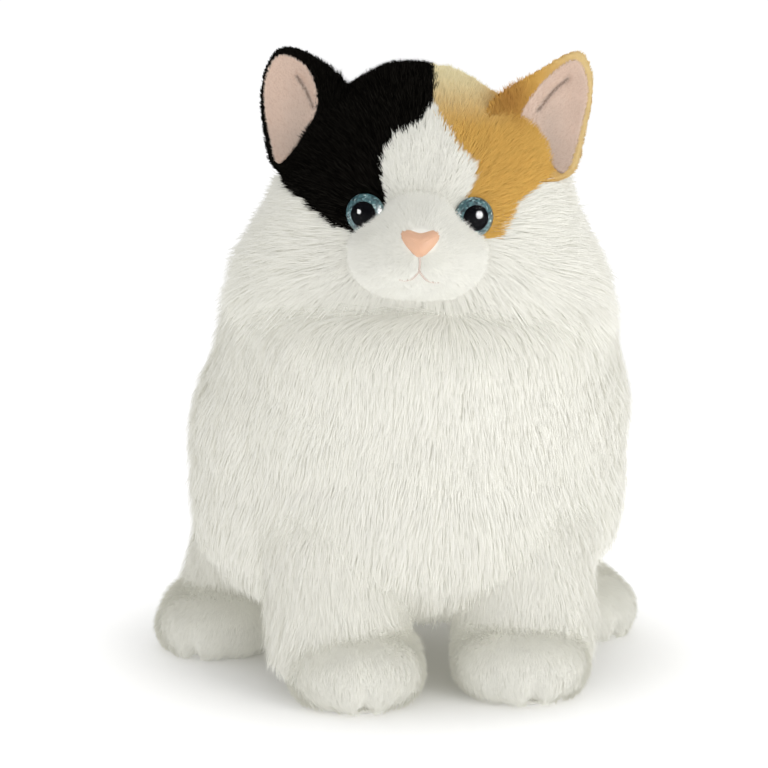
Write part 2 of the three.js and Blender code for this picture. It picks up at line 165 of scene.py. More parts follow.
def distance_to_path(points, path):
    """How far each point is from a polyline."""
    best = np.full(len(points), np.inf)
    for a, b in zip(path[:-1], path[1:]):
        along = b - a
        t = np.clip((points - a) @ along / (along @ along), 0, 1)[:, None]
        best = np.minimum(best, np.linalg.norm(points - a - t * along, axis=1))
    return best


def inside(points, outline):
    """Which flat points lie inside an outline."""
    x, z = points[:, 0], points[:, 1]
    hit = np.zeros(len(points), dtype=bool)
    for (x0, z0), (x1, z1) in zip(outline, np.roll(outline, -1, axis=0)):
        crosses = (z0 > z) != (z1 > z)
        rise = z1 - z0 if z1 != z0 else 1e-12
        hit ^= crosses & (x < x0 + (z - z0) / rise * (x1 - x0))
    return hit


# ---- Meshes ----
def dish(centre, first, count, rings, flip=False):
    """Faces of a disc: rings of count points, from first on, round a centre point."""
    faces = []
    for i in range(count):
        j = (i + 1) % count
        faces.append((centre, first + i, first + j))
        for a in range(first, first + (rings - 1) * count, count):
            faces.append((a + i, a + count + i, a + count + j, a + j))
    return [face[::-1] for face in faces] if flip else faces


def tube(first, sides, rings):
    """Faces of a tube: rings of points, from first on, each one a number of sides round."""
    return [(a + i, a + (i + 1) % sides, a + sides + (i + 1) % sides, a + sides + i)
            for a in range(first, first + (rings - 1) * sides, sides) for i in range(sides)]


def caps(first, sides, rings):
    """The two ends of such a tube."""
    last = first + (rings - 1) * sides
    return [tuple(range(first + sides - 1, first - 1, -1)), tuple(range(last, last + sides))]


def new_object(name, points, faces, space=Matrix.Identity(4)):
    mesh = bpy.data.meshes.new(name)
    mesh.from_pydata(to_row(points, space).tolist(), [], [tuple(f) for f in faces])
    mesh.update()
    mesh.shade_smooth()
    made = bpy.data.objects.new(name, mesh)
    bpy.context.scene.collection.objects.link(made)
    return made


def rounded(name, shape, detail, space):
    """A closed form: an even sphere whose unit directions n (one row each) go to shape(n)."""
    bm = bmesh.new()
    bmesh.ops.create_icosphere(bm, subdivisions=detail, radius=1)
    points = np.array([v.co for v in bm.verts])
    faces = np.array([[v.index for v in f.verts] for f in bm.faces])
    bm.free()
    return new_object(name, shape(points / np.linalg.norm(points, axis=1)[:, None]), faces, space)


def turned(name, profile, axis_matrix, sides=48):
    """A closed lathe form about +Z of axis_matrix, from [radius, height] rows in mm that start and
    end on the axis."""
    profile = np.asarray(profile, float)
    turn = np.linspace(0, 2 * np.pi, sides, endpoint=False)
    rings = [rows(r * np.cos(turn), r * np.sin(turn), height) for r, height in profile[1:-1]]
    points = np.vstack([[0, 0, profile[0, 1]], *rings, [0, 0, profile[-1, 1]]])
    last = len(points) - 1
    faces = tube(1, sides, len(rings))
    for i in range(sides):
        j = (i + 1) % sides
        faces += [(0, 1 + j, 1 + i), (last, last - sides + i, last - sides + j)]
    return new_object(name, points, faces, axis_matrix)


def thread(name, paths, radius, space, sides=8):
    """Round threads along smooth paths, in one object."""
    points, faces = [], []
    for path in paths:
        heading = unit(np.gradient(path, axis=0))
        spare = np.where(np.abs(heading[:, 2:]) < 0.8, [[0, 0, 1.0]], [[0, 1.0, 0]])
        side = unit(np.cross(heading, spare))
        other = np.cross(heading, side)
        faces += tube(len(points), sides, len(path)) + caps(len(points), sides, len(path))
        for i, centre in enumerate(path):
            thick = radius * (0.6 if i in (0, len(path) - 1) else 1)
            for turn in 2 * np.pi * np.arange(sides) / sides:
                around = side[i] * math.cos(turn) + other[i] * math.sin(turn)
                points.append(centre + thick * around)
    return new_object(name, np.array(points), faces, space)


def surface(made):
    """A mesh object's points, triangles and point normals as arrays."""
    mesh = made.data
    mesh.calc_loop_triangles()
    return (read(mesh.vertices, "co"), read(mesh.loop_triangles, "vertices", np.int32),
            read(mesh.vertices, "normal"))


# ---- Stuffing: cloth pinned along its seams and blown up by its filling ----
SEWING_SCALE = 20  # the cloth solver behaves best on something metres across
SEWING_FRAMES = 14
PUCKER = 3.0  # mm, the furthest the filling moves the cloth


def stuff(skin, seam_distance, depth=1.6, pressure=6.0, reach=2.4):
    """Pulls the cloth in along its seams and lets the filling press the panels out between them."""
    points, _, normals = surface(skin)
    sewn = points - normals * depth * MM * bell(seam_distance, reach)[:, None]
    skin.data.vertices.foreach_set("co", sewn.ravel())
    skin.data.update()
    skin.data.vertices.foreach_set("co", (sewn * SEWING_SCALE).ravel())
    seam = skin.vertex_groups.new(name="seam")
    seam.add([int(i) for i in np.flatnonzero(seam_distance < 0.8 * reach)], 1.0, "REPLACE")
    cloth = skin.modifiers.new("stuffing", "CLOTH")
    fabric = cloth.settings
    fabric.quality = 4
    fabric.vertex_group_mass = "seam"
    fabric.use_pressure = True
    fabric.uniform_pressure_force = pressure
    fabric.tension_stiffness = fabric.compression_stiffness = 25
    fabric.bending_stiffness = 2
    fabric.effector_weights.gravity = 0
    cloth.collision_settings.use_collision = False
    cloth.point_cache.frame_start = 1
    cloth.point_cache.frame_end = SEWING_FRAMES
    scene = bpy.context.scene
    for step in range(1, SEWING_FRAMES + 1):
        scene.frame_set(step)
    puffed = skin.evaluated_get(bpy.context.evaluated_depsgraph_get())
    filled = read(puffed.data.vertices, "co")
    skin.modifiers.remove(cloth)
    scene.frame_set(1)
    move = filled / SEWING_SCALE - sewn
    size = np.linalg.norm(move, axis=1, keepdims=True)
    move *= np.minimum(1, PUCKER * MM / np.maximum(size, TINY))
    skin.data.vertices.foreach_set("co", (sewn + move).ravel())
    skin.data.update()


# ---- Materials ----
def dial(node, values):
    for name, value in values.items():
        node.inputs[name].default_value = value


def new_material(name, colour, roughness=0.85, sheen=0.0, specular=0.15):
    """A node material, with what it takes to wire it: its nodes, links and shader."""
    material = bpy.data.materials.new(name)
    material.use_nodes = True
    shader = material.node_tree.nodes["Principled BSDF"]
    dial(shader, {"Base Color": (*colour, 1), "Roughness": roughness, "Sheen Weight": sheen,
                  "Specular IOR Level": specular})
    return material, material.node_tree.nodes, material.node_tree.links, shader


def mottle(nodes, links, texture_output, low, high, into):
    """A colour ramp between two colours over a texture, wired into a shader's colour."""
    ramp = nodes.new("ShaderNodeValToRGB")
    ramp.color_ramp.elements[0].color = (*low, 1)
    ramp.color_ramp.elements[1].color = (*high, 1)
    links.new(texture_output, ramp.inputs["Fac"])
    links.new(ramp.outputs["Color"], into)
    return ramp


def cloud(nodes, links, scale, low, high, into):
    """Soft noise between two colours."""
    noise = nodes.new("ShaderNodeTexNoise")
    dial(noise, {"Scale": scale, "Detail": 2.0})
    mottle(nodes, links, noise.outputs["Fac"], low, high, into)


def coat_material(name, specular, glow):
    """Pile: each strand brings its own colour in the attribute Coat, over a faint cloudy shade.
    The glow stands for the light that pale fibres pass on to each other."""
    material, nodes, links, shader = new_material(name, WHITE_LONG, 0.8, 0, specular)
    dial(shader, {"Emission Color": (*WHITE_LONG, 1), "Emission Strength": glow})
    coat = nodes.new("ShaderNodeAttribute")
    coat.attribute_name = "Coat"
    blend = nodes.new("ShaderNodeMix")
    blend.data_type = "RGBA"
    blend.blend_type = "MULTIPLY"
    dial(blend, {"Factor": 1})
    links.new(coat.outputs["Color"], blend.inputs["A"])
    cloud(nodes, links, 60, (0.96, 0.96, 0.96), (1, 1, 1), blend.inputs["B"])
    links.new(blend.outputs["Result"], shader.inputs["Base Color"])
    return material


def mottled(name, slot, low, high, scale, roughness, sheen=0.0, specular=0.15, more={}):
    """A finish with soft noise between two colours."""
    material, nodes, links, shader = new_material(name, high, roughness, sheen, specular)
    cloud(nodes, links, scale, low, high, shader.inputs["Base Color"])
    dial(shader, more)
    return material, slot


def glitter_material():
    """Teal foil with dark and bright flecks under a hard clear gloss; the flecks are the glitter's
    own, and the bright ones are painted glints.
    """
    material, nodes, links, shader = new_material("eye_glitter", TEAL, 0.3, 0, 0.5)
    flecks = nodes.new("ShaderNodeTexVoronoi")
    dial(flecks, {"Scale": 1300})
    places = nodes.new("ShaderNodeTexCoord")
    links.new(places.outputs["Object"], flecks.inputs["Vector"])
    split = nodes.new("ShaderNodeSeparateColor")
    links.new(flecks.outputs["Color"], split.inputs["Color"])
    # The bright flecks are painted glints on the glitter.
    dark, bright = (0.008, 0.032, 0.042), (0.65, 0.85, 0.85)
    ramp = mottle(nodes, links, split.outputs["Red"], dark, bright, shader.inputs["Base Color"])
    ramp.color_ramp.elements.new(0.8).color = (0.095, 0.235, 0.26, 1)
    dial(shader, {"Coat Weight": 1, "Coat Roughness": 0.03})
    return material


# ---- Finishes: a material, and the record's material slot it stands for ----
COAT, DARK_COAT = coat_material("pale_coat", 0.04, 0.12), coat_material("dark_coat", 0, 0)
LONG_PILE, SHORT_PILE = (COAT, "white_long_pile"), (COAT, "white_short_pile")
BLACK_PILE, ORANGE_PILE = (DARK_COAT, "black_pile"), (DARK_COAT, "orange_pile")
HEAD_CLOTH = (DARK_COAT, "white_short_pile")
EAR_CLOTH, EAR_VELVET = (DARK_COAT, "ear_plush"), (COAT, "ear_plush")
MOUTH_THREAD = mottled("thread", "stitch_thread", THREAD_GREY,
                       tuple(1.25 * c for c in THREAD_GREY), 900, 0.7)
PALE_THREAD = mottled("pale_thread", "stitch_thread", (0.62, 0.60, 0.55), (0.80, 0.78, 0.73),
                      900, 0.7)
NOSE_SATIN = mottled("nose_satin", "nose_thread", tuple(0.9 * c for c in NOSE_PEACH), NOSE_PEACH,
                     500, 0.6, 0.1, 0.06)
SOLE_CLOTH = mottled("sole_cloth", "white_short_pile", (0.80, 0.79, 0.75), (0.90, 0.89, 0.85),
                     400, 0.9, 0.2)
LABEL_SATIN = mottled("label_satin", "label_satin", (0.86, 0.86, 0.84), (0.93, 0.93, 0.91),
                      300, 0.35, 0, 0.4)
NYLON = mottled("washer_nylon", "washer_nylon", (0.78, 0.78, 0.74), (0.84, 0.84, 0.80),
                200, 0.4, 0, 0.4)
EYE_BLACK = mottled("eye_black", "eye_black", (0.003, 0.003, 0.004), (0.006, 0.006, 0.008),
                    200, 0.3, 0, 0, {"Coat Weight": 0.1, "Coat Roughness": 0.01})
CLEAR = mottled("eye_clear", "eye_clear", (0.008, 0.01, 0.01), (0.012, 0.012, 0.012),
                300, 0.02, 0, 0.4, {"Alpha": 0.04})
GLITTER = (glitter_material(), "eye_glitter")


def settle(made, finish, body, *nodes):
    """A finished piece rides on a body, takes a finish, and stands for CAD nodes."""
    material, slot = finish
    made.data.materials.append(material)
    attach(made, body)
    if nodes:
        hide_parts(*nodes)


def dye(made, colours):
    """Gives a mesh's points one colour, or a row of red, green and blue each."""
    tint = np.ones((len(made.data.vertices), 4))
    tint[:, :3] = colours
    coat = made.data.color_attributes.new("Coat", "FLOAT_COLOR", "POINT")
    coat.data.foreach_set("color", tint.ravel())


# ---- Pile ----
MOST_STRANDS = 39000  # in one fur piece
LEAST_HEIGHT = 0.4 * MM  # of a strand above the floor, and of a strand's own length
# Strands per mm2, length and width in mm, rise and lay in degrees off the cloth, segments,
# strands per tuft, their pull together, and how far they stray in degrees
Pile = namedtuple("Pile", "per_mm2 length width rise lay segments tuft pull stray")
PILES = {
    "long": Pile(2.4, 15, 0.33, 25, 4, 3, 40, 0.20, 7),
    "cheek": Pile(2.8, 15, 0.29, 30, 7, 3, 36, 0.22, 8),
    "leg": Pile(2.4, 11, 0.29, 32, 8, 3, 26, 0.22, 9),
    "short": Pile(4.2, 7.2, 0.26, 40, 14, 3, 18, 0.24, 12),
    "paw": Pile(4.4, 5.8, 0.25, 42, 20, 3, 14, 0.20, 12),
    "velvet": Pile(8.0, 3.2, 0.22, 45, 26, 2, 8, 0.18, 20),
    "suede": Pile(8.0, 1.3, 0.22, 50, 30, 2, 4, 0.1, 40),
}


def scatter(skin, per_mm2, rng):
    """Even random roots on a skin, with their normals."""
    points, faces, normals = surface(skin)
    corners = points[faces]
    edges = corners[:, 1:] - corners[:, :1]
    area = np.linalg.norm(np.cross(edges[:, 0], edges[:, 1]), axis=1) / 2
    count = int(area.sum() / MM ** 2 * per_mm2)
    chosen = rng.choice(len(faces), size=count, p=area / area.sum())
    a, b = rng.random((2, count))
    over = a + b > 1
    a, b = np.where(over, 1 - a, a), np.where(over, 1 - b, b)
    weights = np.stack([1 - a - b, a, b], axis=1)[:, :, None]
    roots = (corners[chosen] * weights).sum(axis=1)
    return roots, unit((normals[faces[chosen]] * weights).sum(axis=1))


def comb(roots, normals, flow, length, pile, rng):
    """Strand curves: they leave the cloth at the rise angle, bend over along flow and gather into
    tufts."""
    steps = pile.segments
    across = np.cross(normals, flow)
    stray = rng.normal(0, pile.stray, len(roots)) + 9 * ripple(roots, 24 * MM, 5)
    turn = np.radians(stray)[:, None]
    along = flow * np.cos(turn) + across * np.sin(turn)
    lift = np.radians(rng.normal(0, 6, len(roots)) + 5 * ripple(roots, 12 * MM, 6))[:, None]
    line = [roots]
    for step in range(steps):
        share = (step + 0.5) / steps
        angle = lift + math.radians(pile.rise + (pile.lay - pile.rise) * share ** 0.7)
        heading = along * np.cos(angle) + normals * np.sin(angle)
        line.append(line[-1] + heading * (length / steps)[:, None])
    line = np.stack(line, axis=1)
    guides = rng.choice(len(roots), size=max(1, len(roots) // pile.tuft), replace=False)
    tree = KDTree(len(guides))
    for i, guide in enumerate(guides):
        tree.insert(roots[guide], i)
    tree.balance()
    nearest = guides[[tree.find(root)[1] for root in roots]]
    pull = pile.pull * np.linspace(0, 1, steps + 1) ** 1.5
    uneven = rng.uniform(0.3, 1.3, len(roots))[:, None, None]
    return line + (line[nearest] - line) * pull[None, :, None] * uneven


def ribbons(line, normals, width, rng):
    """Tapered flat ribbons along the strand curves: points, triangles and shading normals."""
    count, rings = line.shape[:2]
    heading = unit(np.gradient(line, axis=1))
    flat = unit(np.cross(heading, normals[:, None, :]))
    roll = np.radians(rng.normal(0, 6, count))[:, None, None]
    flat = flat * np.cos(roll) + np.cross(heading, flat) * np.sin(roll)
    taper = np.array([1.0, 1.0, 0.8]) if rings > 3 else np.array([1.0, 0.9])
    half = flat[:, :-1] * (width / 2)[:, None, None] * taper[None, :, None]
    pairs = np.stack([line[:, :-1] - half, line[:, :-1] + half], axis=2).reshape(count, -1, 3)
    points = np.concatenate([pairs, line[:, -1:]], axis=1)
    per = points.shape[1]
    faces = []
    for a in range(0, 2 * (rings - 2), 2):
        faces += [[a, a + 1, a + 3], [a, a + 3, a + 2]]
    faces.append([per - 3, per - 2, per - 1])
    triangles = (np.array(faces)[None] + np.arange(count)[:, None, None] * per).reshape(-1, 3)
    face_up = unit(np.cross(flat, heading))
    face_up *= np.sign((face_up * normals[:, None, :]).sum(axis=2, keepdims=True) + TINY)
    shade = unit(normals[:, None, :] * 0.95 + face_up * 0.08)
    shade = np.concatenate([np.repeat(shade[:, :-1], 2, axis=1), shade[:, -1:]], axis=1)
    return points, triangles, shade


def strand_mesh(name, line, normals, width, colours, rng):
    """One mesh of ribbons, with per-point colour that is darker towards each root as painted shade,
    and a compact texture layout of one cell a strand."""
    points, triangles, shade = ribbons(line, normals, width, rng)
    count, per = points.shape[:2]
    mesh = bpy.data.meshes.new(name)
    mesh.vertices.add(count * per)
    mesh.vertices.foreach_set("co", points.ravel())
    mesh.loops.add(triangles.size)
    mesh.loops.foreach_set("vertex_index", triangles.ravel())
    mesh.polygons.add(len(triangles))
    mesh.polygons.foreach_set("loop_start", np.arange(0, triangles.size, 3))
    mesh.update(calc_edges=True)
    made = bpy.data.objects.new(name, mesh)
    along = np.concatenate([np.repeat(np.linspace(0, 1, line.shape[1])[:-1], 2), [1.0]])
    # Painted shade: each strand is darker at its root, where the coat shades itself, and a touch
    # lighter at its tip.
    painted_root_shade = (0.95 + 0.06 * along)[None, :, None]
    dye(made, np.clip(colours[:, None, :] * painted_root_shade, 0, 0.96).reshape(-1, 3))
    order = np.empty(count, dtype=int)
    order[np.argsort(colours.sum(axis=1), kind="stable")] = np.arange(count)
    grid = math.ceil(math.sqrt(count))
    side = np.tile([0.25, 0.75], per)[:per]
    side[-1] = 0.5
    u = ((order % grid)[:, None] + side[None]) / grid
    v = ((order // grid)[:, None] + 0.15 + 0.7 * along[None]) / grid
    layout = np.stack([u, v], axis=2).reshape(-1, 2)[triangles.ravel()]
    mesh.uv_layers.new(name="OFBake").data.foreach_set("uv", layout.ravel())
    mesh.shade_smooth()
    mesh.normals_split_custom_set_from_vertices(shade.reshape(-1, 3))
    made.visible_shadow = False  # fibres this fine pass light on instead of shading each other
    bpy.context.scene.collection.objects.link(made)
    return made


def grow(skin, kind, flow, colour, seed, finish, body, parts, length=None, speckle=0.02,
         shortest=0.72):
    """Pile on a skin, settled on a body. parts gives each fur piece's CAD node and its share of the
    roots, as a mask function; length scales the strands root by root, and where it is 0 nothing
    grows. speckle is how much strands differ in tone, and shortest the least share of the full
    length."""
    pile = PILES[kind]
    rng = np.random.default_rng(seed)
    roots, normals = scatter(skin, pile.per_mm2, rng)
    size = pile.length * MM * rng.uniform(shortest, 1.08, len(roots))
    if length is not None:
        size = size * length(roots)
    kept = size > LEAST_HEIGHT
    roots, normals, size = roots[kept], normals[kept], size[kept]
    raw = flow(roots, normals)
    along = unit(raw - (raw * normals).sum(axis=1, keepdims=True) * normals)
    line = comb(roots, normals, along, size, pile, rng)
    line[:, :, 2] = np.maximum(line[:, :, 2], LEAST_HEIGHT)
    width = pile.width * MM * rng.uniform(0.7, 1.2, len(roots))
    tone = 1 + speckle * rng.normal(size=len(roots)) + 0.02 * ripple(roots, 8 * MM, seed + 1)
    plain = colour(roots) if callable(colour) else np.array(colour)
    colours = plain * np.maximum(0.3, tone)[:, None]
    for name, (node, mask) in parts.items():
        own = np.flatnonzero(mask(roots))
        if len(own) > MOST_STRANDS:
            width[own] *= math.sqrt(len(own) / MOST_STRANDS)
            own = rng.choice(own, size=MOST_STRANDS, replace=False)
        fur = strand_mesh(name, line[own], normals[own], width[own], colours[own], rng)
        settle(fur, finish, body, node)


def everywhere(roots):
    return np.ones(len(roots), dtype=bool)


# ---- Torso ----
SKIN_DEPTH = 4.0  # mm from the coat's outer surface in to the cloth
CHEST_SEAM, BELLY_SEAM, NECK_SEAM = -48, 50, 148
TORSO_MIDDLE = 92  # mm above the floor


def torso_shape(n, depth=SKIN_DEPTH):
    """A fat barrel: full below, domed above, its shoulders leaning over the front legs."""
    across, back, up = n.T
    fullness = np.where(up < 0, 3.6 - 0.6 * smoothstep(-back, 0.1, 0.8), 2.0)
    k = (np.hypot(across, back) ** fullness + np.abs(up) ** fullness) ** (-1 / fullness)
    above = 132 - 68 * smoothstep(back, -0.1, 0.7)
    z = up * k * (np.where(up < 0, 68, above) - depth)
    level = np.where(z > 44, 44 + 28 * np.tanh((z - 44) / 28), z)
    lean = 20 * np.clip(level, 0, None) / (NECK_SEAM - TORSO_MIDDLE)
    throat = 5 * bell(level - 54, 14) * smoothstep(-back, 0.1, 0.7)
    x = across * k * (92 - depth) * (1 - 0.04 * bell(level - 44, 16))
    return rows(x, 4 + back * k * (86 - depth) - lean - throat, TORSO_MIDDLE + level)


def torso_seams(points):
    """How far each point is from the nearest seam, in mm."""
    x, y, z = local(points, BUILD).T
    chest = np.where(z > BELLY_SEAM, np.abs(y - CHEST_SEAM), FAR)
    spine = np.where(y > 0, np.abs(x), FAR)
    return np.minimum(np.minimum(chest, np.abs(z - BELLY_SEAM)), spine)


def torso_flow(roots, normals):
    """The coat falls down the sides, spreads a little outwards, and runs back along the spine."""
    return rows(roots[:, 0] * 4, 0.1 + 0.9 * smoothstep(normals[:, 2], 0.3, 0.9), -1.0)


def torso_length(roots):
    """Longest low on the chest, and none under the head."""
    x, y, z = local(roots, BUILD).T
    under_head = (np.hypot(x / 44, (y + 40) / 34) < 1) & (z > 156)
    return np.where(under_head, 0, 0.9 + 0.2 * smoothstep(110 - z, 0, 60))


def build_torso():
    skin = rounded("torso_skin", torso_shape, 6, BUILD)
    stuff(skin, torso_seams(surface(skin)[0]), pressure=1.5)
    dye(skin, WHITE_LONG)
    settle(skin, LONG_PILE, "torso", "body_stuffing")
    y, z = (lambda p: local(p, BUILD)[:, 1]), (lambda p: local(p, BUILD)[:, 2])
    flank = lambda p: (y(p) >= CHEST_SEAM) & (z(p) > BELLY_SEAM)
    parts = {
        "chest_fur": ("chest_panel", lambda p: (y(p) < CHEST_SEAM) & (z(p) > BELLY_SEAM)),
        "right_flank_fur": ("right_flank_panel", lambda p: flank(p) & (p[:, 0] < 0)),
        "left_flank_fur": ("left_flank_panel", lambda p: flank(p) & (p[:, 0] >= 0)),
        "belly_fur": ("belly_gusset", lambda p: z(p) <= BELLY_SEAM),
    }
    grow(skin, "long", torso_flow, WHITE_LONG, 11, LONG_PILE, "torso", parts, torso_length)


def build_back_details():
    """The ladder stitches that close the back, and the folded blank label below the tail."""
    angles = np.radians(np.linspace(15, 45, 9))
    path = torso_shape(rows(0.0, np.cos(angles), np.sin(angles)), 0.4)
    path[:, 0] = 1.6 * np.where(np.arange(9) % 2, 1, -1)
    seam = thread("closing_seam_stitches", [curve_through(path, 60)], 0.6, BUILD)
    settle(seam, PALE_THREAD, "torso", "closing_seam_thread")
    corners = local(node_points("sewn_in_label"), BUILD)
    low, high = corners.min(0), corners.max(0)
    middle = (low[1] + high[1]) / 2
    fold = [(middle - 1, high[2])]
    fold += [(middle - 1.1 - 0.8 * math.sin(t * 3), high[2] - t * 24) for t in (0.3, 0.7)]
    fold += [(middle - 0.9, low[2] + 0.8), (middle, low[2] + 0.2), (middle + 0.9, low[2] + 0.8)]
    fold += [(middle + 1.1 - 0.5 * math.sin(t * 3), high[2] - t * 24) for t in (0.7, 0.3)]
    fold += [(middle + 1, high[2])]
    loop = curve_through(fold, 40)
    points = []
    for y, z in loop:
        out = y + 0.25 * (1 if y > middle else -1)
        points += [(-9, y, z), (9, y, z), (9, out, z), (-9, out, z)]
    label = new_object("label_ribbon", points, tube(0, 4, len(loop)) + caps(0, 4, len(loop)), BUILD)
    settle(label, LABEL_SATIN, "torso", "sewn_in_label")


# ---- Head ----
BLAZE = np.array([[2.5, 235], [-3, 226], [-13, 220], [-15, 210], [-12, 200], [-14, 183], [19, 183],
                  [16, 201], [19.5, 213], [10, 221]])
BLACK_PATCH = np.array([[2.5, 275], [-90, 275], [-90, 208], [-57, 206], [-40, 196], [-21, 185],
                        [2.5, 185]])
ORANGE_PATCH = np.array([[2.5, 275], [2.5, 185], [26, 186], [33, 200], [47, 209], [90, 211],
                         [90, 275]])
BLAZE_SPOT, BLACK_SPOT, ORANGE_SPOT, CHEEK = range(4)
HEAD_MIDDLE = (0, -14, 196)
NOSE_AT = np.array([0, -84, 187.0])
MUZZLE_AT = np.array([-1.0, -60, 182.0])
MUZZLE_WIDE, MUZZLE_LONG, MUZZLE_UP, MUZZLE_DOWN = 22.9, 24.5, 19.4, 15.4  # half sizes
MUZZLE_SQUARE = 2.5  # 2 would be an ellipse


def head_shape(n):
    """A ball that is wider at the cheeks and runs down inside the neck."""
    across, back, up = n.T
    z = up * (np.where(up < 0, 110, 54) - SKIN_DEPTH)
    cheek = 1 + 0.10 * smoothstep(-z, -6, 18) + 0.27 * bell(z + 38, 22)
    x = across * (60 - SKIN_DEPTH) * cheek * (1 - 0.13 * np.clip(up, 0, 1) ** 1.5)
    tuck = 1 - 0.07 * smoothstep(-z, 14, 46) * (back < 0)
    y = HEAD_MIDDLE[1] + back * (52 - SKIN_DEPTH) * tuck
    z = z + (2.5 * bell(x + 13, 16) - 2.5 * bell(x - 25, 12)) * smoothstep(up, 0.5, 0.8)
    return rows(x, y, np.maximum(HEAD_MIDDLE[2] + z, NECK_SEAM - 8))


def head_patch(roots):
    """Which patch of the head a root is on."""
    p = local(roots, HEAD)
    front = p[:, [0, 2]] + 1.2 * rows(ripple(roots, 7 * MM, 3), ripple(roots, 7 * MM, 4))
    patch = np.where(inside(front, ORANGE_PATCH), ORANGE_SPOT, CHEEK)
    patch = np.where(inside(front, BLACK_PATCH), BLACK_SPOT, patch)
    patch[inside(front, BLAZE) & (p[:, 1] < -20)] = BLAZE_SPOT
    return patch


def head_colour(roots):
    x, y, z = local(roots, HEAD).T
    patch = head_patch(roots)[:, None]
    # Painted light: the orange is paler on top of the crown, towards the front.
    pale = smoothstep(z, 222, 245) * smoothstep(-y, -20, 10) * smoothstep(34 - x, 0, 16)
    # Painted shade: deeper orange beside the left ear's root.
    deep = bell(x - 34, 9) * bell(z - 236, 9) * 0.7
    orange = mix(mix(ORANGE, ORANGE_PAINTED_LIGHT, pale[:, None]), ORANGE_PAINTED_SHADE, deep[:, None])
    return np.where(patch == ORANGE_SPOT, orange, np.where(patch == BLACK_SPOT, BLACK, WHITE_SHORT))


def is_cheek(roots):
    """The long white pile below the patches."""
    return head_patch(roots) == CHEEK


def head_flow(roots, normals):
    """Pile runs away from the nose in every direction, and droops more the lower it is."""
    low = smoothstep(HEAD_MIDDLE[2] - 12 - local(roots, HEAD)[:, 2], 0, 40)
    droop = np.where(is_cheek(roots), 0.25 + 0.9 * low, 0)
    return unit(roots - to_row(NOSE_AT, HEAD)) + rows(0, 0.15, -droop)


def off_face(roots):
    """0 where the muzzle and eyes cover the cloth, 1 elsewhere."""
    x, y, z = local(roots, HEAD).T
    rim = muzzle_rim(x, z)
    clear = 1.0 - ((rim < 0.9) & (y < -20))
    clear *= np.where(y < -30, 0.45 + 0.55 * smoothstep(rim, 0.95, 1.7), 1)
    for side in SIDES:
        gap = np.linalg.norm(roots - eye_middle(side), axis=1) / MM
        clear *= smoothstep(gap, 8.0, 12.5) * 0.75 + 0.25 * (gap > 8.0)
    return clear


def head_seams(points):
    """Patch edges and the crown seam, as distances in mm."""
    p = local(points, HEAD)
    front = p[:, [0, 2]]
    closest = np.where(p[:, 2] > 208, np.abs(p[:, 0] - 4), FAR)
    for outline in (BLACK_PATCH[3:6], ORANGE_PATCH[2:6], BLAZE[:5], BLAZE[7:]):
        near = np.where(p[:, 1] < 0, distance_to_path(front, outline), FAR)
        closest = np.minimum(closest, near)
    return closest


def build_head():
    skin = rounded("head_skin", head_shape, 6, HEAD)
    stuff(skin, head_seams(surface(skin)[0]), depth=0.8, pressure=1.0, reach=1.8)
    dye(skin, head_colour(surface(skin)[0]))
    skin.visible_shadow = False  # no dark band on the chest under the cheeks
    settle(skin, HEAD_CLOTH, "head", "head_stuffing")
    patches = (("head_right_fur", BLACK_SPOT, "head_right_panel", BLACK_PILE, 0.8),
               ("head_left_fur", ORANGE_SPOT, "head_left_panel", ORANGE_PILE, 0.03),
               ("blaze_fur", BLAZE_SPOT, "forehead_blaze", SHORT_PILE, 0.03))
    for seed, (name, spot, panel, finish, speckle) in enumerate(patches, start=21):
        own = lambda p: off_face(p) * (head_patch(p) == spot) * (0.75 if spot == BLAZE_SPOT else 1)
        grow(skin, "short", head_flow, head_colour, seed, finish, "head",
             {name: (panel, everywhere)}, own, speckle)
    x, z = (lambda p: local(p, HEAD)[:, 0]), (lambda p: local(p, HEAD)[:, 2])
    cheeks = {"right_cheek_fur": ("right_cheek_panel", lambda p: x(p) < 0),
              "left_cheek_fur": ("left_cheek_panel", lambda p: x(p) >= 0)}
    low = lambda p: 0.8 + 0.3 * smoothstep(190 - z(p), 0, 20) + 0.5 * smoothstep(170 - z(p), 0, 14)
    ruff = lambda p: off_face(p) * is_cheek(p) * low(p)
    grow(skin, "cheek", head_flow, WHITE_LONG, 27, LONG_PILE, "head", cheeks, ruff, shortest=0.4)


# ---- Muzzle, nose and mouth ----
LIP_LINES = [np.array([[0, 182.5], [0.2, 180], [0, 177.2]]),
             np.array([[0, 177.2], [2.2, 174.2], [5, 172.8], [8, 172.9]]),
             np.array([[0, 177.2], [-2.2, 174.3], [-5, 173.2], [-7.5, 173.6]])]


def lip_distance(flat):
    return np.min([distance_to_path(flat, line) for line in LIP_LINES], axis=0)


def muzzle_narrow(z):
    """The muzzle's sides draw in to a bridge between the eyes."""
    return 1 - 0.41 * smoothstep(z, 183, 197)


def muzzle_rim(x, z):
    """0 in the middle of the muzzle seen from the front, 1 at its edge: a soft square below, a
    bridge above."""
    tall = np.where(z > MUZZLE_AT[2], MUZZLE_UP, MUZZLE_DOWN)
    across = np.abs(x - MUZZLE_AT[0]) / (MUZZLE_WIDE * muzzle_narrow(z))
    up = np.abs(z - MUZZLE_AT[2]) / tall
    return (across ** MUZZLE_SQUARE + up ** MUZZLE_SQUARE) ** (1 / MUZZLE_SQUARE)


